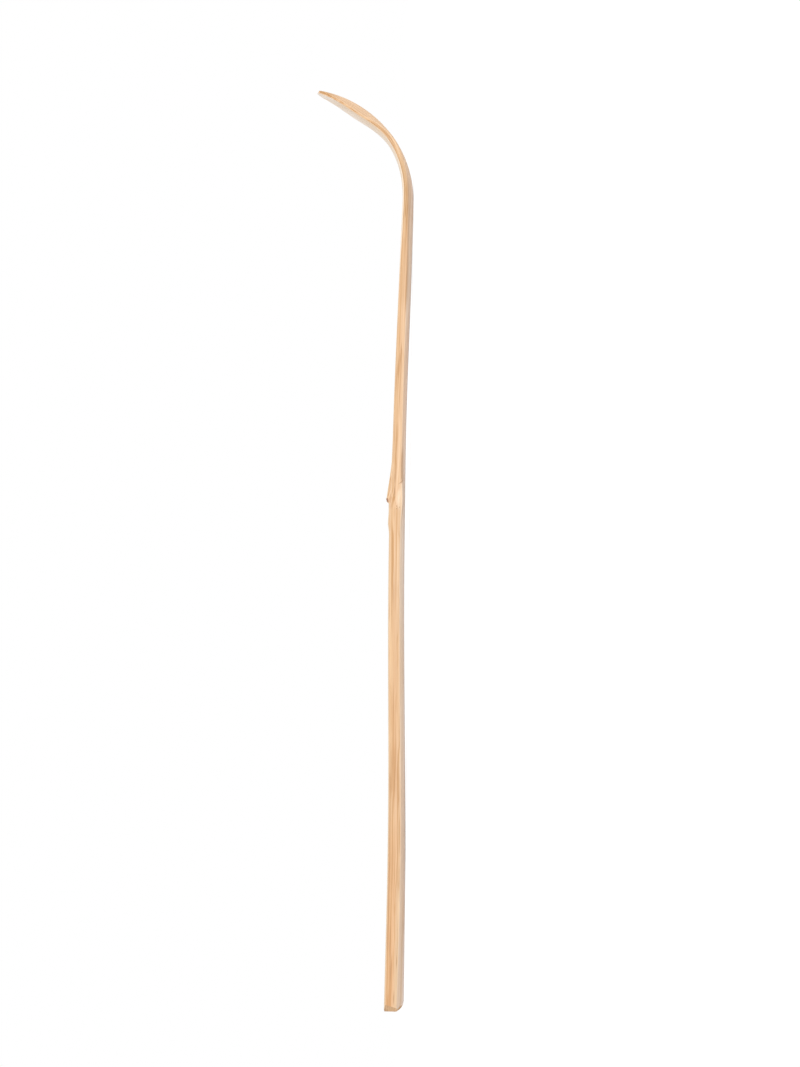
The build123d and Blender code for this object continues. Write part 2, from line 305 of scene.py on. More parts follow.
class Section:
    """Outline of the strip at one place: across, and up from the back."""

    def __init__(self, place):
        self.place = place
        self.depth = size_at("depth", place)
        self.hollow = size_at("hollow", place)
        self.crown = size_at("crown", place)
        full = size_at("width", place) / 2.0
        reach = size_at("back_reach", place)
        self.full_rim = full - RIM_REACH
        self.full_heel = full - reach
        self.half = min(full, TipOutline.half_at(place))
        left = self.half / full
        self.rim = self.half - RIM_REACH * left
        self.heel = self.half - reach * left
        self.rim_drop = size_at("rim_drop", place) * left
        self.back_drop = (size_at("back_drop", place) + bevel_change(place)) * left

    def front(self, across):
        """Height of the front face."""
        return self.depth - self.hollow * (1.0 - (across / self.full_rim) ** 2)

    def under_skin(self, across):
        """Height of the underside of the skin."""
        return self.front(across) - SKIN

    def back(self, across):
        """Height of the back face."""
        return self.crown * (across / self.full_heel) ** 2

    def corners(self, side):
        """Front rim, top and foot of the side, and heel, on the right (1) or on the left (-1)."""
        stray = HAND_WAVER * waver(self.place, side) * min(self.back_drop, 1.0)
        rim = Vector((self.rim, self.front(self.rim)))
        top = Vector((self.half, rim.y - self.rim_drop))
        heel = Vector((self.heel + stray, self.back(self.heel)))
        foot = Vector((self.half, heel.y + self.back_drop + stray))
        return rim, top, foot, heel

    def seam_share(self, top_path):
        """Share of the way down a side path at which the skin ends."""
        low, high = 0.0, 1.0
        for _ in range(SEAM_HALVINGS):
            share = (low + high) / 2.0
            point = along_path(top_path, [share])[0]
            above = point.y > self.under_skin(point.x)
            low, high = (share, high) if above else (low, share)
        return (low + high) / 2.0

    def side_points(self, side):
        """Side outline of the skin, from the rim down, and of the flesh, from the skin to the heel."""
        rim, top, foot, heel = self.corners(side)
        inner = Vector((self.rim * FRONT_LEAD, self.front(self.rim * FRONT_LEAD)))
        middle = Vector((self.heel * BACK_LEAD, self.back(self.heel * BACK_LEAD)))
        upper = rounded(inner, rim, top, EDGE_ROUND) + rounded(rim, top, foot, EDGE_ROUND)
        lower = rounded(top, foot, heel, EDGE_ROUND)
        path = upper + [lower[0]]
        seam = self.seam_share(path)
        skin = along_path(path, [seam * share for share in spread(0.0, 1.0, SKIN_POINTS)])
        flesh = along_path(path, [between(seam, 1.0, ease(t)) for t in spread(0.0, 1.0, WALL_POINTS)])
        flesh += lower[1:] + rounded(foot, heel, middle, EDGE_ROUND)
        return skin, flesh


def mirrored(points):
    """The same points on the left."""
    return [Vector((-p.x, p.y)) for p in points]


def skin_ring(section, rise=None):
    """Closed outline of the skin, raised by a function of the distance across where one is given."""
    right, _ = section.side_points(1)
    left, _ = section.side_points(-1)
    left = mirrored(left)
    front = [Vector((a, section.front(a))) for a in spread(left[0].x, right[0].x, FRONT_POINTS)]
    seam = [Vector((a, section.under_skin(a))) for a in spread(right[-1].x, left[-1].x, FRONT_POINTS)]
    outer = front[1:-1] + right
    ring = outer[:-1] + seam + left[::-1][1:]
    if rise is None:
        return ring
    raised = []
    for point in ring:
        thickness = point.y - section.under_skin(point.x)
        raised.append(Vector((point.x, point.y + rise(point.x) * min(max(thickness / SKIN, 0.0), 1.0))))
    return raised


def flesh_ring(section):
    """Closed outline of the flesh."""
    _, right = section.side_points(1)
    _, left = section.side_points(-1)
    left = mirrored(left)
    seam = [Vector((a, section.under_skin(a))) for a in spread(left[0].x, right[0].x, FRONT_POINTS)]
    back = [Vector((a, section.back(a))) for a in spread(right[-1].x, left[-1].x, BACK_POINTS)]
    return seam[:-1] + right + back[1:-1] + left[::-1][:-1]


# Meshes

WEAR_REACH = 0.16        # how far wear spreads from an edge
CARVED_EDGE = 0.08       # height over which the side turns into the carved back
CARVED_OVER = 0.1        # how far the knife went over the edge onto the side
END_SOFT = 0.06          # softened edge of the cut end
TIP_STOP = math.radians(88.9)
SMOOTH_ANGLE = math.radians(32.0)
SAME_PLACE = 0.0004      # points closer than this are one
CUT_FADE = 0.3           # how slowly the rounded corner of the end turns into wood cut across the fibres
NOT_CUT = -1.0           # far from any cut of the end


def wear_at(section, point):
    """Closeness to the foot edge and to the rim edges of the section, from 0 to 1."""
    rim, top, foot, _ = section.corners(1 if point.x >= 0 else -1)
    spot = Vector((abs(point.x), point.y))
    to_rim = min((spot - rim).length, (spot - top).length)
    return math.exp(-(((spot - foot).length / WEAR_REACH) ** 2)), math.exp(-((to_rim / WEAR_REACH) ** 2))


def carved_at(section, point):
    """0 on the sides, 1 where the back bevels start, 2 past them, and -1 on the rim bevels and the front."""
    rim, top, foot, heel = section.corners(1 if point.x >= 0 else -1)
    if abs(point.x) < rim.x and point.y > foot.y:
        return -1.0
    if point.y > top.y:
        return -ease((point.y - top.y) / CARVED_EDGE)
    past = (foot.y - point.y) / max(foot.y - heel.y, CARVED_EDGE)
    return ease((foot.y + CARVED_OVER - point.y) / CARVED_EDGE + 0.5) + min(max(past, 0.0), 1.0)


def no_rise(place, across):
    """The plain front face."""
    return 0.0


def sweep(name, rings, rise=no_rise, blend=None, cuts=None):
    """Closed mesh through rings of (section, points) that keeps its place on the strip as attributes.

    The third number of wear is the lift of the front face or, where one is given, a blend into other wood.
    """
    points, strip, wear, carved = [], [], [], []
    count = len(rings[0][1])
    cut = [past for ring in cuts for past in ring] if cuts else [NOT_CUT] * (count * len(rings))
    for section, ring in rings:
        for point in ring:
            lift = rise(section.place, point.x)
            points.append(in_space(section.place, point.x, point.y))
            strip.append((section.place, point.x, section.front(point.x) + lift - point.y))
            foot_edge, rim_edge = wear_at(section, point)
            wear.append((foot_edge, rim_edge, blend(section.place, point.y) if blend else lift))
            carved.append(carved_at(section, point))
    faces = [tuple(range(count)), tuple(range(len(points) - count, len(points)))]
    for i in range(len(rings) - 1):
        for j in range(count):
            k = (j + 1) % count
            faces.append((i * count + j, i * count + k, (i + 1) * count + k, (i + 1) * count + j))
    mesh = bpy.data.meshes.new(name)
    mesh.from_pydata(points, [], faces)
    for label, values in (("strip", strip), ("wear", wear)):
        layer = mesh.attributes.new(label, "FLOAT_VECTOR", "POINT")
        layer.data.foreach_set("vector", [number for value in values for number in value])
    for label, values in (("carved", carved), ("cut", cut)):
        layer = mesh.attributes.new(label, "FLOAT", "POINT")
        layer.data.foreach_set("value", values)
    close_up(mesh)
    piece = bpy.data.objects.new(name, mesh)
    bpy.context.scene.collection.objects.link(piece)
    for face in mesh.polygons:
        face.use_smooth = len(face.vertices) <= 4
    mesh.set_sharp_from_angle(angle=SMOOTH_ANGLE)
    return piece


def close_up(mesh):
    """Joins points that lie on each other and turns all faces outwards."""
    shell = bmesh.new()
    shell.from_mesh(mesh)
    bmesh.ops.remove_doubles(shell, verts=shell.verts, dist=SAME_PLACE * MM)
    bmesh.ops.recalc_face_normals(shell, faces=shell.faces)
    shell.to_mesh(mesh)
    shell.free()


def side_cut(section, ring):
    """Ring with the two side corners of the cut end taken off."""
    trimmed = []
    for point in ring:
        limit = end_half(section.place, section.depth - point.y)
        trimmed.append(Vector((min(max(point.x, -limit), limit), point.y)))
    return trimmed


def past_cut(section, point):
    """How far a point lies past the cuts of the end, in millimetres: below 0 on wood that they left."""
    side = abs(point.x) - end_half(section.place, section.depth - point.y)
    corner = end_lift(section.place) - back_height(section.place) - point.y
    corner = min(corner, (END_SIDE_LENGTH - section.place) * CUT_FADE)
    return max(side, corner, END_SOFT - section.place)


def cut_end(rings):
    """Rings with the cuts of the end and a softened first edge, and how far each point is past the cuts."""
    cuts = [[past_cut(section, point) for point in ring] for section, ring in rings]
    rings = [(section, side_cut(section, ring)) for section, ring in rings]
    section, ring = rings[0]
    centre = sum(ring, Vector((0.0, 0.0))) / len(ring)
    drawn_in = [point + (centre - point).normalized() * END_SOFT for point in ring]
    return [(section, drawn_in)] + rings[1:], cuts


def handle_places(last):
    """Places along the handle, close together at the cut end."""
    end = spread(END_SOFT, END_ROUND_LENGTH, END_RINGS)
    return [0.0] + end + spread(end[-1], last, HANDLE_RINGS)[1:]


def scoop_places():
    """Places along the shaft, the bend and the bowl to the round tip."""
    shoulder = TipOutline.place_at(TipOutline.touch_turn)
    nose = [TipOutline.place_at(turn) for turn in spread(TipOutline.touch_turn, TIP_STOP, NOSE_RINGS)]
    return spread(SWELL_END, BEND, SHAFT_RINGS) + spread(BEND, shoulder, BEND_RINGS)[1:] + nose[1:]


def lip_rise(place, across):
    """Height of the raised lip of the node over the front face."""
    wave = LIP_WAVE * noise.noise(Vector((across * LIP_WAVE_PITCH, WAVE_SEED, 0.0)))
    here = place + wave * ease((place - LIP_FOOT) / LIP_STEP) * ease((SWELL_END - place) / LIP_STEP)
    if here >= NODE:
        left = max(1.0 - (here - NODE) / (SWELL_END - NODE), 0.0)
        rise = RIDGE_RISE * left**SWELL_POWER
    elif here >= NODE - LIP_FLAT:
        rise = RIDGE_RISE - LIP_LEAN * (NODE - here) / LIP_FLAT
    else:
        drop = ease((NODE - LIP_FLAT - here) / LIP_DROP)
        rise = between(RIDGE_RISE - LIP_LEAN, bulge_rise(place, across), drop)
    at_lip = math.exp(-(((here - NODE + LIP_FLAT / 2.0) / LIP_FLAT) ** 2))
    ragged = noise.noise(Vector((across * RAGGED_ACROSS, here * RAGGED_ALONG, RAGGED_SEED)))
    return max(rise + LIP_RAGGED * ragged * at_lip, 0.0)


def bulge_rise(place, across):
    """Low swelling of the skin just below the lip."""
    off = (place - NODE + BULGE_PLACE) / BULGE_LENGTH
    foot = FOOT_RISE * math.exp(-(((place - NODE) / FOOT_LENGTH) ** 4))
    return max(BULGE_RISE * math.exp(-(off**4)), foot)


def handle_flesh():
    """Flesh of the handle, from the cut end to the node."""
    rings = [(section, flesh_ring(section)) for section in map(Section, handle_places(NODE_FOOT))]
    rings, cuts = cut_end(rings)
    return sweep("handle_flesh_wood", rings, cuts=cuts)


def handle_skin():
    """Skin on the front of the handle, with its low swelling below the lip."""
    rings = []
    for section in map(Section, handle_places(LIP_FOOT)):
        rings.append((section, skin_ring(section, lambda across: bulge_rise(section.place, across))))
    rings, cuts = cut_end(rings)
    return sweep("handle_skin_face", rings, rise=bulge_rise, cuts=cuts)


def root_top(place):
    """Height of the round top of the cross wall's root over the back."""
    radius = (ROOT_LENGTH**2 / 4.0 + ROOT_DEPTH**2) / (2.0 * ROOT_DEPTH)
    off = min(abs(place - NODE), radius)
    return math.sqrt(radius**2 - off**2) + ROOT_DEPTH - radius


def root_places(margin):
    """Places along the root of the cross wall, closer together towards its ends."""
    half = ROOT_LENGTH / 2.0 - margin
    return [NODE + half * math.sin(turn) for turn in spread(-math.pi / 2.0, math.pi / 2.0, ROOT_RINGS)]


def node_places():
    """Places along the node, close together over the root of the cross wall."""
    root = root_places(0.0)
    foot = spread(NODE_FOOT, root[0], NODE_FOOT_RINGS)
    return foot + root[1:] + spread(root[-1], SWELL_END, NODE_TOP_RINGS)[1:]


def half_outline(section, side):
    """One side of the flesh's outline, from the skin down to the middle of the back."""
    _, flesh = section.side_points(side)
    return flesh + [Vector((a, section.back(a))) for a in spread(flesh[-1].x, 0.0, BACK_POINTS)[1:]]


def crossing(path, height):
    """Point at which a path first comes down to a height."""
    for first, last in zip(path, path[1:]):
        if first.y >= height > last.y:
            return first.lerp(last, (first.y - height) / (first.y - last.y))
    return path[-1]


def flesh_half(section, side):
    """The outline where the root of the cross wall is left out: down to the root, then along its top."""
    path = half_outline(section, side)
    floor = root_top(section.place)
    edge = crossing(path, floor)
    roof = [Vector((a, edge.y)) for a in spread(edge.x, 0.0, ROOF_POINTS)]
    return [p if p.y >= floor else edge for p in path] + roof[1:]


def root_half(section, side):
    """The outline of the root alone: along its top to the side, then down to the middle of the back."""
    path = half_outline(section, side)
    top = root_top(section.place)
    edge = crossing(path, top)
    roof = [Vector((a, edge.y)) for a in spread(0.0, edge.x, ROOF_POINTS)]
    return roof[1:] + [p if p.y < top else edge for p in path]


def node_flesh():
    """Flesh about the node, with a pocket where the root of the cross wall is."""
    rings = []
    for section in map(Section, node_places()):
        right = flesh_half(section, 1)
        left = mirrored(flesh_half(section, -1))
        seam = [Vector((a, section.under_skin(a))) for a in spread(left[0].x, right[0].x, FRONT_POINTS)]
        rings.append((section, seam[:-1] + right[:-1] + left[::-1][:-1]))
    return sweep("node_flesh_wood", rings)


def root_blend(place, up):
    """1 where the root meets the flesh over it, and 0 deeper in the root."""
    return 1.0 - ease((root_top(place) - up) / ROOT_BLEND)


def diaphragm_root():
    """Trimmed root of the node's cross wall, flush in the back."""
    rings = []
    for section in map(Section, root_places(ROOT_MARGIN)):
        right = root_half(section, 1)
        left = mirrored(root_half(section, -1))
        rings.append((section, right[:-1] + left[::-1]))
    return sweep("diaphragm_root_wood", rings, blend=root_blend)


def node_ridge():
    """Raised lip across the front at the node."""
    rings = []
    places = spread(LIP_FOOT, NODE, LIP_RINGS) + spread(NODE, SWELL_END, SWELL_RINGS)[1:]
    for section in map(Section, places):
        rings.append((section, skin_ring(section, lambda across: lip_rise(section.place, across))))
    return sweep("node_ridge_lip", rings, rise=lip_rise)


def scoop_flesh():
    """Flesh of the shaft, the bend and the bowl."""
    rings = [(section, flesh_ring(section)) for section in map(Section, scoop_places())]
    return sweep("scoop_flesh_wood", rings)


def scoop_skin():
    """Skin on the front of the shaft, the bend and the bowl."""
    rings = [(section, skin_ring(section)) for section in map(Section, scoop_places())]
    return sweep("scoop_skin_face", rings)


# Materials

# Repeats of each pattern per millimetre: along the strip, across it and below the front. For streaks and
# bundles the last is a depth that runs faster under the skin.
DRIFT_SCALE = (0.07, 0.25, 0.25)
STREAK_SCALE = (0.03, 1.9, 1.2)
BUNDLE_SCALE = (0.045, 3.4, 1.9)
HAIR_SCALE = (0.09, 5.0, 5.0)
LINE_SCALE = (0.02, 3.6, 3.6)
CLOUD_SCALE = (0.045, 0.2, 0.2)
SAW_SCALE = (0.5, 1.2, 9.0)
CORK_SCALE = (2.2, 1.6, 2.0)
BREAK_SCALE = (0.4, 0.9, 0.0)
WEAVE_SCALE = (0.9, 2.2, 3.2)

# How far the fibres stray, and how they crowd under the skin
STRAY = 0.6
NODE_STRAY = 1.8
NODE_STRAY_REACH = 11.0
PACKING = 1.2
PACKED_SCALE = 4.6

# Stretches of the strip with a tone of their own: from, to, and how far they fade beyond
DULL_HANDLE = (26.0, 48.0, 8.0)
DULL_SHAFT = (BEND - 18.0, BEND - 5.0, 4.0)
DEEP_SHAFT = (NODE + 12.0, NODE + 42.0, 8.0)
DARK_BEND = (BEND - 1.0, BEND + 6.0, 6.0)
BACK_BEND = (BEND - 2.0, BEND + 8.0, 4.0)
BACK_SHAFT = (NODE + 14.0, NODE + 28.0, 14.0)
WORN_BEND = (BEND - 17.0, BEND + 2.0, 6.0)
WORN_NODE = (NODE + 4.0, NODE + 8.0, 3.0)
PALE_RIM = (BEND - 12.0, BEND + 14.0, 14.0)

# Stretches over which one tone turns into another: from and to
CUT_START = (-0.01, 0.02)            # millimetres past a cut
SKIN_EDGE = (0.02, 0.12)             # from the face of the skin to its cut edge, below the front
AGED = (5.0, 80.0)
# Painted shade: stretch over which the carved back darkens towards the cut end
BACK_SHADE_NEAR_END = (5.0, 60.0)
NEAR_END = (10.0, 34.0)
END_FIBRES = (6.0, 34.0)             # towards the cut end the fibres are finer
# Painted shade: stretch over which the carved back darkens from the bend down the shaft and handle
BACK_SHADE_BEFORE_BEND = (BEND - 22.0, BEND - 8.0)
BOWL_BACK = (BEND, BEND + 16.0)
# Painted sheen: stretches of the bowl and its nose where the skin is painted pale grey-white, as if it
# mirrored white surroundings
BOWL_SHEEN = (BEND - 4.0, BEND + 14.0)
NOSE_SHEEN = (TIP - 10.0, TIP - 2.0)
SCORCH = (TIP - 5.4, TIP - 0.8)

# Other sizes of the finishes
SIDE_DEPTH = 3.6                     # depth at the end of the side's colour ramp
CARVED_FIBRES = 0.45                 # share of the fibres' tones left on the carved back
RIM_WEAR = 0.14                      # how far the rims of the skin are rubbed pale
COAT = 0.4                           # thin waxy layer on the skin
COAT_ROUGHNESS = 0.2
SCAR_PLACE = NODE - 0.15             # dark edge of the lip
SCAR_REACH = 0.95
CORE_PLACE = NODE - 0.2              # darkest line in it
CORE_REACH = 0.5
LENS_PLACE = NODE + 0.2              # pale lens of the cross wall on the sides
LENS_LENGTH = 3.4
LENS_WIDTH = 0.75
LENS_DEPTH = 1.6

# Short marks on the left side: from and to (place, depth below the front), and half width
MARKS = (
    ((NODE + 2.8, 0.78), (NODE + 0.2, 0.8), 0.18),       # dark fibre above the lip
    ((NODE + 6.2, 0.76), (NODE + 2.2, 0.78), 0.13),
    ((NODE + 2.9, 1.45), (NODE + 3.85, 2.5), 0.12),      # slanted nick over the cross wall
    ((NODE - 1.15, 1.3), (NODE - 1.5, 1.3), 0.14),       # specks below it
    ((NODE - 1.65, 1.3), (NODE - 2.0, 1.3), 0.14),
    ((NODE - 1.4, 1.85), (NODE - 1.7, 1.85), 0.12),
    ((12.0, 1.06), (4.4, 1.0), 0.11),                    # split fibres at the cut end
    ((4.4, 1.78), (0.9, 1.74), 0.12),
    ((11.6, 2.14), (8.4, 2.1), 0.1),
    ((18.0, 0.75), (9.0, 0.7), 0.1),
)


def colour(code):
    """Linear colour of a display colour code."""
    parts = [int(code[i:i + 2], 16) / 255.0 for i in (0, 2, 4)]
    linear = [c / 12.92 if c <= 0.04045 else ((c + 0.055) / 1.055) ** 2.4 for c in parts]
    return (*linear, 1.0)


class Graph:
    """A tree of shader nodes, with short ways to add and link them."""

    def __init__(self, tree):
        self.tree = tree

    def put(self, socket, value):
        """Links a socket to another, or gives it a constant value."""
        if isinstance(value, bpy.types.NodeSocket):
            self.tree.links.new(value, socket)
        else:
            socket.default_value = value

    def add(self, kind, values=(), **settings):
        """New node with its settings and the values of its first sockets."""
        node = self.tree.nodes.new("ShaderNode" + kind)
        for name, setting in settings.items():
            setattr(node, name, setting)
        for socket, value in zip(node.inputs, values):
            if value is not None:
                self.put(socket, value)
        return node

    def number(self, operation, *values):
        """Result of a calculation with numbers."""
        return self.add("Math", values, operation=operation).outputs[0]

    def sum(self, *values):
        """Sum of numbers."""
        total = values[0]
        for value in values[1:]:
            total = self.number("ADD", total, value)
        return total

    def times(self, first, second):
        """Product of two numbers."""
        return self.number("MULTIPLY", first, second)

    def ranged(self, value, low, high, to_low=0.0, to_high=1.0):
        """Number eased from one range into another, and held at its ends."""
        values = (value, low, high, to_low, to_high)
        return self.add("MapRange", values, interpolation_type="SMOOTHSTEP").outputs[0]

    def falling(self, value, low, high):
        """1 up to the low end, easing down to 0 at the high end."""
        return self.ranged(value, low, high, 1.0, 0.0)

    def bump_at(self, value, middle, reach):
        """1 at the middle, falling smoothly to 0 at the reach on both sides."""
        away = self.number("ABSOLUTE", self.number("SUBTRACT", value, middle))
        return self.falling(away, 0.0, reach)

    def vector(self, *parts):
        """Vector from three numbers."""
        return self.add("CombineXYZ", parts).outputs[0]

    def scaled(self, parts, scale):
        """Vector from three numbers, each times its own scale."""
        return self.vector(*[self.times(part, repeats) for part, repeats in zip(parts, scale)])

    def grain(self, vector, detail=2.0, roughness=0.55):
        """Cloudy noise from 0 to 1."""
        node = self.add("TexNoise")
        self.put(node.inputs["Vector"], vector)
        node.inputs["Scale"].default_value = 1.0
        node.inputs["Detail"].default_value = detail
        node.inputs["Roughness"].default_value = roughness
        return node.outputs[0]

    def cells(self, vector):
        """Distance to the nearest of many scattered points, and a random number for each of them."""
        node = self.add("TexVoronoi")
        self.put(node.inputs["Vector"], vector)
        node.inputs["Scale"].default_value = 1.0
        chance = self.add("SeparateXYZ", (node.outputs["Color"],)).outputs[0]
        return node.outputs["Distance"], chance

    def mix(self, share, first, second, blend="MIX"):
        """Mix of two colours."""
        node = self.add("Mix", data_type="RGBA", blend_type=blend)
        for socket, value in ((0, share), (6, first), (7, second)):
            self.put(node.inputs[socket], value)
        return node.outputs[2]

    def tint(self, share, base, code):
        """Colour multiplied by a tint, as far as the share says."""
        return self.mix(share, base, colour(code), "MULTIPLY")

    def blend(self, share, first, second):
        """Mix of two numbers."""
        return self.add("Mix", (share, None, first, second)).outputs[0]

    def ramp(self, value, *stops):
        """Colour read off a ramp of (position, colour code)."""
        node = self.add("ValToRGB", (value,))
        edge = node.color_ramp.elements
        for position, code in stops[1:-1]:
            edge.new(position).color = colour(code)
        edge[0].position, edge[0].color = stops[0][0], colour(stops[0][1])
        edge[-1].position, edge[-1].color = stops[-1][0], colour(stops[-1][1])
        return node.outputs[0]


class Finish(Graph):
    """A material under construction."""

    def __init__(self, name):
        self.material = bpy.data.materials.new(name)
        self.material.use_nodes = True
        super().__init__(self.material.node_tree)
        self.shader = self.tree.nodes["Principled BSDF"]

    def coat(self, bare):
        """Thin waxy layer, left out as far as the bare share says."""
        self.shader.inputs["Coat Roughness"].default_value = COAT_ROUGHNESS
        self.put(self.shader.inputs["Coat Weight"], self.ranged(bare, 0.0, 1.0, COAT, 0.0))

    def finish(self, base, roughness, height, depth):
        """Sets colour, roughness and a bump of the given depth in millimetres."""
        self.put(self.shader.inputs["Base Color"], base)
        self.put(self.shader.inputs["Roughness"], roughness)
        bump = self.add("Bump")
        bump.inputs["Strength"].default_value = 1.0
        bump.inputs["Distance"].default_value = depth * MM
        self.put(bump.inputs["Height"], height)
        self.put(self.shader.inputs["Normal"], bump.outputs[0])
        return self.material


class Fibres:
    """Places on the strip in millimetres, and the fibre bundles that run along it."""

    def __init__(self, finish):
        self.finish = finish
        place = finish.add("Attribute", attribute_name="strip").outputs["Vector"]
        self.along, self.across, self.below = finish.add("SeparateXYZ", (place,)).outputs
        wear = finish.add("Attribute", attribute_name="wear").outputs["Vector"]
        self.foot_edge, self.rim_edge, self.lift_or_blend = finish.add("SeparateXYZ", (wear,)).outputs
        self.carved = finish.add("Attribute", attribute_name="carved").outputs["Fac"]
        past = finish.add("Attribute", attribute_name="cut").outputs["Fac"]
        self.cut = finish.ranged(past, *CUT_START)
        self.straight = (self.along, self.across, self.below)
        drift = finish.number("SUBTRACT", finish.grain(finish.scaled(self.straight, DRIFT_SCALE)), 0.5)
        near_node = finish.bump_at(self.along, NODE, NODE_STRAY_REACH)
        drift = finish.times(drift, finish.sum(STRAY, finish.times(near_node, NODE_STRAY)))
        side = finish.sum(self.across, drift)
        inner = finish.sum(self.below, drift)
        self.strayed = (self.along, side, inner)
        grown = finish.sum(finish.times(inner, PACKING), 1.0)
        packed = finish.times(finish.number("LOGARITHM", grown, math.e), PACKED_SCALE)
        self.crowded = (self.along, side, packed)

    def streaks(self):
        """Broad light and dark streaks along the fibres, from 0 to 1."""
        f = self.finish
        return f.ranged(f.grain(f.scaled(self.crowded, STREAK_SCALE), detail=2.5), 0.36, 0.64)

    def bundles(self):
        """Bundles of dark fibres, from 0 to 1: fine and crowded near the skin, coarse and sparse inside."""
        f = self.finish
        near, chance = f.cells(f.scaled(self.crowded, BUNDLE_SCALE))
        return f.times(f.falling(near, 0.1, 0.46), f.ranged(chance, 0.3, 0.9))

    def hairs(self):
        """Hair-fine lines along the fibres, from 0 to 1."""
        f = self.finish
        return f.grain(f.scaled(self.strayed, HAIR_SCALE), detail=4.0, roughness=0.62)

    def lines(self):
        """Long thin lines along the fibres, from 0 to 1."""
        f = self.finish
        return f.ranged(f.grain(f.scaled(self.strayed, LINE_SCALE), detail=1.0), 0.48, 0.62)

    def clouds(self):
        """Broad changes of tone along the strip, from 0 to 1."""
        return self.finish.grain(self.finish.scaled(self.straight, CLOUD_SCALE), detail=3.0)

    def window(self, low, high, fade):
        """1 between two places along the strip, fading out beyond them."""
        f = self.finish
        return f.times(f.ranged(self.along, low - fade, low), f.falling(self.along, high, high + fade))

    def scratch(self, start, end, width):
        """Short thin line on the left side of the strip between two (place, depth below the front)."""
        f = self.finish
        run, fall = end[0] - start[0], end[1] - start[1]
        length = math.hypot(run, fall)
        off_along = f.sum(self.along, -start[0])
        off_below = f.sum(self.below, -start[1])
        share = f.sum(f.times(off_along, run / length**2), f.times(off_below, fall / length**2))
        aside = f.sum(f.times(off_along, -fall / length), f.times(off_below, run / length))
        line = f.times(f.bump_at(aside, 0.0, width), f.bump_at(share, 0.5, 0.6))
        return f.times(line, f.falling(self.across, -0.5, 0.0))

    def marks(self):
        """All the short marks on the left side, from 0 to 1."""
        lines = [self.scratch(start, end, width) for start, end, width in MARKS]
        return self.finish.sum(*lines)


def side_tone(f, fibres):
    """Orange and dense under the skin, paler towards the back, darker towards the cut end."""
    stops = ((0.0, "e8c297"), (0.16, "f0cba2"), (0.36, "f6d3ae"), (0.62, "f8dbb9"), (0.95, "f8dec2"))
    tone = f.ramp(f.times(fibres.below, 1.0 / SIDE_DEPTH), *stops)
    aged = f.times(f.falling(fibres.along, *AGED), f.falling(fibres.below, 1.0, 2.4))
    tone = f.tint(aged, tone, "f6eee4")
    dull = f.sum(fibres.window(*DULL_HANDLE), fibres.window(*DULL_SHAFT))
    tone = f.tint(dull, tone, "f8f6f4")
    deep = f.times(f.ranged(fibres.below, 1.1, 1.9), fibres.window(*DEEP_SHAFT))
    tone = f.tint(deep, tone, "f6f2ec")
    near_end = f.times(f.ranged(fibres.below, 1.4, 2.2), f.falling(fibres.along, *NEAR_END))
    tone = f.tint(near_end, tone, "f4f5f5")
    return f.tint(fibres.window(*DARK_BEND), tone, "eeebe4")


def carved_back(f, fibres, tone):
    """The tone of the side, and over the bevels and the back the pale pinkish grey of carved wood, painted
    paler towards the heel and darker with painted shade towards the handle and the cut end.
    """
    # Painted light: paler from the foot of the bevel to the heel and back, to offset the floor's shade on
    # the edge that rests near it
    band = f.mix(f.ranged(fibres.carved, 1.0, 2.0), colour("f6e5d3"), colour("fbf1ea"))
    # Painted shade: the back darkens down the shaft and handle, and more towards the cut end
    band = f.tint(f.falling(fibres.along, *BACK_SHADE_BEFORE_BEND), band, "f8f4f0")
    band = f.tint(f.falling(fibres.along, *BACK_SHADE_NEAR_END), band, "f2f0ef")
    band = f.tint(fibres.window(*BACK_BEND), band, "f8f4f0")
    band = f.tint(fibres.window(*BACK_SHAFT), band, "f9efe6")
    back = f.mix(f.ranged(fibres.along, *BOWL_BACK), band, colour("f6d3ae"))
    return f.mix(f.ranged(fibres.carved, 0.0, 1.0), tone, back)


def fibred(f, fibres, base):
    """Colour with all that the fibres do to it, a bump height for them, and their hairs and clouds."""
    streaks, bundles, hairs, clouds = fibres.streaks(), fibres.bundles(), fibres.hairs(), fibres.clouds()
    plain = f.ranged(fibres.carved, 0.0, 1.0, 1.0, CARVED_FIBRES)
    broad = f.times(plain, f.ranged(fibres.along, *END_FIBRES, 0.3, 0.8))
    fine = f.times(plain, f.ranged(fibres.along, *END_FIBRES, 1.5, 1.0))
    base = f.tint(f.times(streaks, broad), base, "eae0d4")
    base = f.tint(f.times(bundles, plain), base, "d8c4ac")
    base = f.tint(f.times(fibres.lines(), fine), base, "ebddca")
    base = f.tint(f.ranged(clouds, 0.35, 0.7, 0.0, 0.5), base, "f8eee0")
    height = f.sum(f.times(bundles, -0.6), f.times(hairs, 0.8), f.times(clouds, 0.6))
    return base, height, hairs, clouds


def end_grain(f, fibres):
    """Fibres cut across at the end of the handle: dark dots in tan wood, and a bump height for them."""
    bundles = fibres.bundles()
    saw = f.grain(f.scaled(fibres.straight, SAW_SCALE), detail=3.0)
    base = f.mix(f.ranged(saw, 0.35, 0.7), colour("d0aa82"), colour("c09a72"))
    base = f.tint(f.times(bundles, 0.8), base, "b8906a")
    return base, f.sum(f.times(bundles, 0.8), saw)


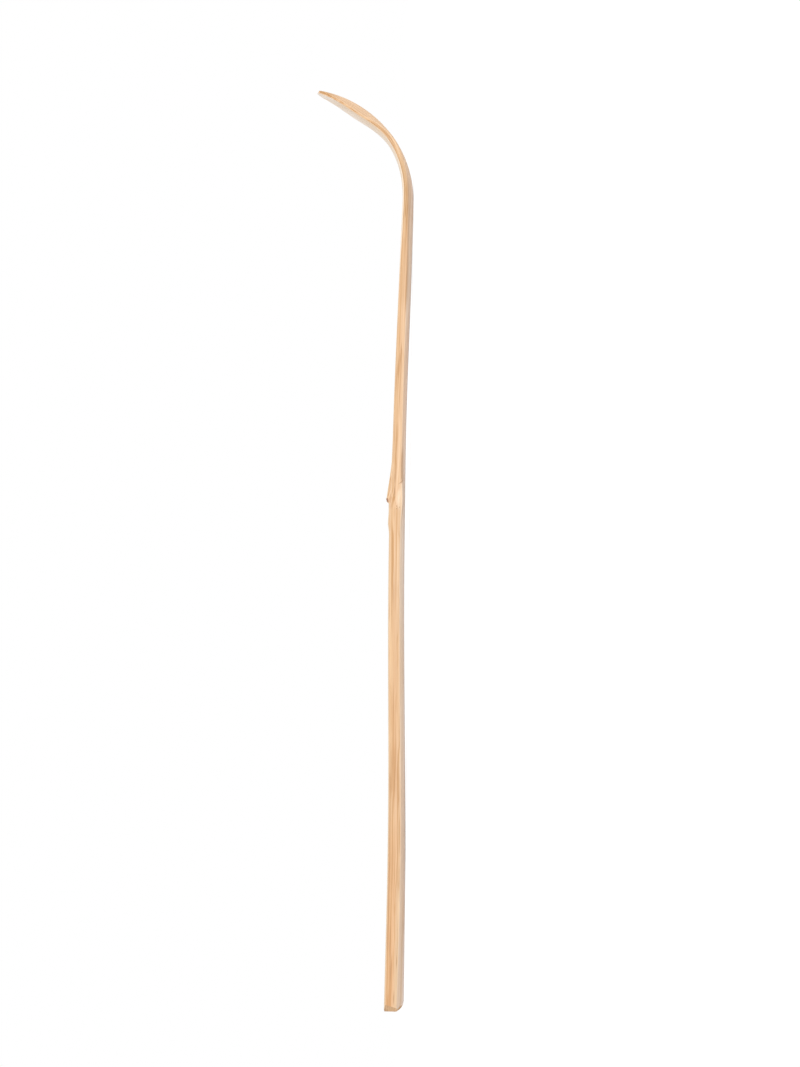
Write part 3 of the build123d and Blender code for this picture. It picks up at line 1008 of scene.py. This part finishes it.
def flesh_finish():
    """Sanded flesh with a dark edge from wear where the bend starts, and a scorched tip."""
    f = Finish("bamboo_flesh")
    fibres = Fibres(f)
    tone = carved_back(f, fibres, side_tone(f, fibres))
    base, height, hairs, clouds = fibred(f, fibres, tone)
    wear_and_sheen = f.sum(fibres.window(*WORN_BEND), fibres.window(*WORN_NODE))
    base = f.tint(f.times(fibres.foot_edge, wear_and_sheen), base, "dccbb8")
    scorch = f.times(f.ranged(fibres.along, *SCORCH), f.ranged(clouds, 0.25, 0.6, 0.4, 1.0))
    base = f.tint(scorch, base, "e0cfae")
    base = f.mix(fibres.marks(), base, colour("b98a62"))
    across, sawn = end_grain(f, fibres)
    base = f.mix(fibres.cut, base, across)
    height = f.blend(fibres.cut, height, f.times(sawn, 2.0))
    return f.finish(base, f.ranged(hairs, 0.3, 0.7, 0.5, 0.66), height, depth=0.02)


def front_tone(f, fibres, wear_and_sheen=0.0):
    """Warm tan of the skin, painted paler where a share of sheen is given, with fine lines and patches, and
    its hairs and clouds.
    """
    hairs, clouds, streaks = fibres.hairs(), fibres.clouds(), fibres.streaks()
    face = f.mix(f.ranged(clouds, 0.3, 0.7), colour("efd4ad"), colour("e5c394"))
    # Painted reflection: pale grey-white mixed in as far as the sheen share says
    face = f.mix(wear_and_sheen, face, colour("f1e6dc"))
    face = f.tint(f.times(streaks, 0.5), face, "f0e2cc")
    face = f.tint(f.ranged(hairs, 0.42, 0.72, 0.0, 0.6), face, "eedbc0")
    return face, hairs, clouds


def skin_finish():
    """Smooth waxy skin with fine lines along it; its cut edge shows packed fibres."""
    f = Finish("bamboo_skin")
    fibres = Fibres(f)
    f.coat(fibres.cut)
    # Painted reflection: the skin near the bowl's rims and over its nose is painted pale, like a grazing
    # sheen of white surroundings
    aside = f.number("ABSOLUTE", fibres.across)
    wear_and_sheen = f.number("MAXIMUM", f.ranged(aside, 1.5, 4.2), f.ranged(fibres.along, *NOSE_SHEEN))
    wear_and_sheen = f.times(wear_and_sheen, f.ranged(fibres.along, *BOWL_SHEEN))
    face, hairs, clouds = front_tone(f, fibres, wear_and_sheen)
    edge, _, _, _ = fibred(f, fibres, side_tone(f, fibres))
    base = f.mix(f.ranged(fibres.below, *SKIN_EDGE), face, edge)
    bevel = f.times(f.falling(fibres.carved, -0.8, -0.2), f.ranged(fibres.below, 0.02, 0.08))
    base = f.mix(f.times(bevel, fibres.window(*PALE_RIM)), base, colour("f3dfc8"))
    base = f.mix(f.times(fibres.rim_edge, RIM_WEAR), base, colour("f4dcc0"))
    across, sawn = end_grain(f, fibres)
    base = f.mix(fibres.cut, base, across)
    height = f.blend(fibres.cut, f.sum(f.times(hairs, 0.7), f.times(clouds, 0.8)), f.times(sawn, 20.0))
    return f.finish(base, f.ranged(hairs, 0.3, 0.7, 0.34, 0.48), height, depth=0.002)


def lip_finish():
    """Skin of the node with the dark broken edge of its lip."""
    f = Finish("node_scar")
    fibres = Fibres(f)
    face, hairs, _ = front_tone(f, fibres)
    edge, _, _, _ = fibred(f, fibres, side_tone(f, fibres))
    base = f.mix(f.ranged(fibres.below, *SKIN_EDGE), face, edge)
    base = f.mix(f.times(fibres.rim_edge, RIM_WEAR), base, colour("f4dcc0"))
    cork = f.grain(f.scaled(fibres.straight, CORK_SCALE), detail=4.0, roughness=0.7)
    broken = f.ranged(f.grain(f.scaled(fibres.straight, BREAK_SCALE), detail=3.0), 0.3, 0.7, -0.2, 0.2)
    on_side = f.ranged(fibres.rim_edge, 0.0, 0.3)
    lip = f.times(f.bump_at(fibres.along, SCAR_PLACE, SCAR_REACH), f.falling(fibres.below, 0.12, 0.5))
    patchy = f.sum(lip, f.times(cork, 0.5), f.blend(on_side, broken, 0.0))
    scar = f.times(f.ranged(patchy, 0.65, 1.05), f.ranged(fibres.lift_or_blend, 0.1, 0.35))
    core = f.times(f.bump_at(fibres.along, CORE_PLACE, CORE_REACH), 0.5)
    dark = f.mix(core, f.ramp(cork, (0.3, "a67458"), (0.7, "cfa27e")), colour("8f5f48"))
    base = f.mix(scar, base, dark)
    f.coat(scar)
    height = f.sum(f.times(hairs, 0.1), f.times(f.times(cork, scar), 4.0))
    return f.finish(base, f.ranged(scar, 0.0, 1.0, 0.4, 0.85), height, depth=0.03)


def root_finish():
    """Pale short-grained wood of the cross wall's root, which blends into the flesh about it."""
    f = Finish("node_wood")
    fibres = Fibres(f)
    weave = f.grain(f.scaled(fibres.straight, WEAVE_SCALE), detail=4.0, roughness=0.6)
    pale = f.mix(f.ranged(weave, 0.35, 0.7), colour("fdead2"), colour("f8dfc0"))
    off_along = f.times(f.sum(fibres.along, -LENS_PLACE), 1.0 / LENS_LENGTH)
    off_below = f.times(f.sum(fibres.below, -LENS_DEPTH), 1.0 / LENS_WIDTH)
    away = f.add("VectorMath", (f.vector(off_along, off_below, 0.0),), operation="LENGTH").outputs["Value"]
    inside = f.falling(fibres.lift_or_blend, 0.0, 1.0)
    base, height, _, clouds = fibred(f, fibres, carved_back(f, fibres, side_tone(f, fibres)))
    base = f.mix(f.times(f.ranged(away, 0.2, 1.0, 0.65, 0.0), inside), base, pale)
    base = f.mix(fibres.marks(), base, colour("b98a62"))
    rough = f.ranged(weave, 0.3, 0.7, 0.52, 0.7)
    return f.finish(base, rough, f.sum(height, weave, f.times(clouds, 0.5)), depth=0.02)


# The pieces, the nodes that they stand for, and their materials

MATERIALS = {
    "bamboo_flesh": flesh_finish(),
    "bamboo_skin": skin_finish(),
    "node_scar": lip_finish(),
    "node_wood": root_finish(),
}
PIECES = (
    (handle_flesh, "handle_flesh", "bamboo_flesh"),
    (handle_skin, "handle_skin", "bamboo_skin"),
    (node_flesh, "node_flesh", "bamboo_flesh"),
    (node_ridge, "node_ridge", "node_scar"),
    (diaphragm_root, "diaphragm_root", "node_wood"),
    (scoop_flesh, "scoop_flesh", "bamboo_flesh"),
    (scoop_skin, "scoop_skin", "bamboo_skin"),
)
for make, node, slot in PIECES:
    piece = make()
    piece.data.materials.append(MATERIALS[slot])
    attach(piece, "root")
    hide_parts(node)


# Camera at the photograph's viewing angle

PHOTO_WIDTH = 800.0
FOCAL_PIXELS = 3172.0
SENSOR = 36.0
CAMERA_DISTANCE = 625.4
CAMERA_ALONG = 3.43
CAMERA_UP = 1.85
CAMERA_ROLL = math.radians(0.704)
NEAREST_SEEN = 1.0


def photo_camera():
    """Looks straight at the side of the scoop, with the tip at the top of the picture."""
    lens = bpy.data.cameras.new("photo_camera")
    lens.sensor_fit = "HORIZONTAL"
    lens.sensor_width = SENSOR
    lens.lens = SENSOR * FOCAL_PIXELS / PHOTO_WIDTH
    lens.clip_start = NEAREST_SEEN * MM
    camera = bpy.data.objects.new("photo_camera", lens)
    right = Vector((math.sin(CAMERA_ROLL), 0.0, -math.cos(CAMERA_ROLL)))
    up = Vector((math.cos(CAMERA_ROLL), 0.0, math.sin(CAMERA_ROLL)))
    back = Vector((0.0, -1.0, 0.0))
    turned = Matrix((right, up, back)).transposed().to_4x4()
    spot = Vector((CAMERA_ALONG, -CAMERA_DISTANCE, CAMERA_UP)) * MM
    camera.matrix_world = Matrix.Translation(spot) @ turned
    bpy.context.scene.collection.objects.link(camera)
    bpy.context.scene.camera = camera


# White studio: floor, surroundings and lamps

FLOOR_SIZE = 6.0         # metres
FLOOR_WHITE = 0.88
FLOOR_GLOW = 0.2
SKY_LIGHT = 0.85
LAMP_SPREAD = math.radians(60.0)


def seen_directly(graph):
    """1 for what the camera, a reflection or a clear body looks at, and 0 for other light."""
    rays = graph.add("LightPath").outputs
    both = graph.number("MAXIMUM", rays["Is Camera Ray"], rays["Is Glossy Ray"])
    return graph.number("MAXIMUM", both, rays["Is Transmission Ray"])


def white_floor():
    """Matt white floor that keeps shadows and reads as white where nothing shades it."""
    mesh = bpy.data.meshes.new("studio_floor")
    half = FLOOR_SIZE / 2.0
    corners = [(-half, -half, 0), (half, -half, 0), (half, half, 0), (-half, half, 0)]
    mesh.from_pydata(corners, [], [(0, 1, 2, 3)])
    floor = bpy.data.objects.new("studio_floor", mesh)
    bpy.context.scene.collection.objects.link(floor)
    f = Finish("studio_white")
    f.shader.inputs["Base Color"].default_value = (FLOOR_WHITE, FLOOR_WHITE, FLOOR_WHITE, 1.0)
    f.shader.inputs["Roughness"].default_value = 1.0
    f.shader.inputs["Specular IOR Level"].default_value = 0.0
    f.shader.inputs["Emission Color"].default_value = (1.0, 1.0, 1.0, 1.0)
    f.put(f.shader.inputs["Emission Strength"], f.times(seen_directly(f), FLOOR_GLOW))
    mesh.materials.append(f.material)


def white_surroundings():
    """White to the eye and in reflections, and soft light from all round."""
    world = bpy.data.worlds.new("studio")
    world.use_nodes = True
    sky = Graph(world.node_tree)
    background = sky.tree.nodes["Background"]
    background.inputs["Color"].default_value = (1.0, 1.0, 1.0, 1.0)
    sky.put(background.inputs["Strength"], sky.ranged(seen_directly(sky), 0.0, 1.0, SKY_LIGHT, 1.0))
    bpy.context.scene.world = world


def soft_lamp(name, toward, strength):
    """Broad far lamp that shines from a direction, evenly over the whole floor."""
    light = bpy.data.lights.new(name, "SUN")
    light.energy = strength
    light.angle = LAMP_SPREAD
    lamp = bpy.data.objects.new(name, light)
    lamp.location = toward
    lamp.rotation_euler = (-Vector(toward)).to_track_quat("-Z", "Y").to_euler()
    bpy.context.scene.collection.objects.link(lamp)


photo_camera()
white_floor()
white_surroundings()
soft_lamp("key_lamp", toward=(0.0, -0.97, 0.2), strength=1.0)
soft_lamp("side_lamp", toward=(0.95, -0.3, 0.1), strength=0.6)
bpy.context.scene.view_settings.view_transform = "Standard"
